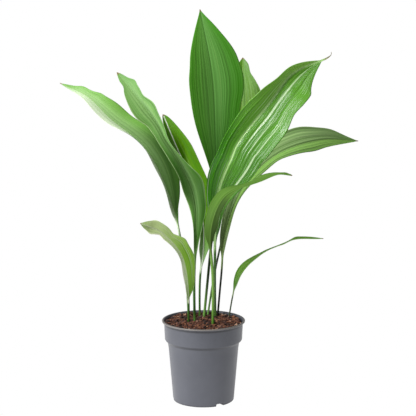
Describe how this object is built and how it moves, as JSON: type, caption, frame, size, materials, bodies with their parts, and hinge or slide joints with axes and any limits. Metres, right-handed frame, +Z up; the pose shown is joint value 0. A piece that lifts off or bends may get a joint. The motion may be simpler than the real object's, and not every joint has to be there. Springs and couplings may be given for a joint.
{
  "type": "potted cast iron plant",
  "caption": "Potted cast iron plant: broad folded leaves on slender stalks rise from bark soil in a stepped plastic grow pot with a rolled lip.",
  "frame": {"origin": "centre of the pot's flat underside", "axes": "+Z up, +X to the right and +Y away when the plant is seen from its front"},
  "size_m": [0.4384, 0.271, 0.5621],
  "materials": {
    "pot": "satin",
    "soil": "rough",
    "leaf": "satin"
  },
  "bodies": {
    "root": {"pot": "pot", "soil": "soil", "leaf_tall": "leaf", "leaf_behind": "leaf", "leaf_broad": "leaf", "leaf_right": "leaf", "leaf_far_left": "leaf", "leaf_left": "leaf", "leaf_inner": "leaf", "leaf_front": "leaf", "leaf_low_left": "leaf", "leaf_thin": "leaf"}
  },
  "joints": []
}
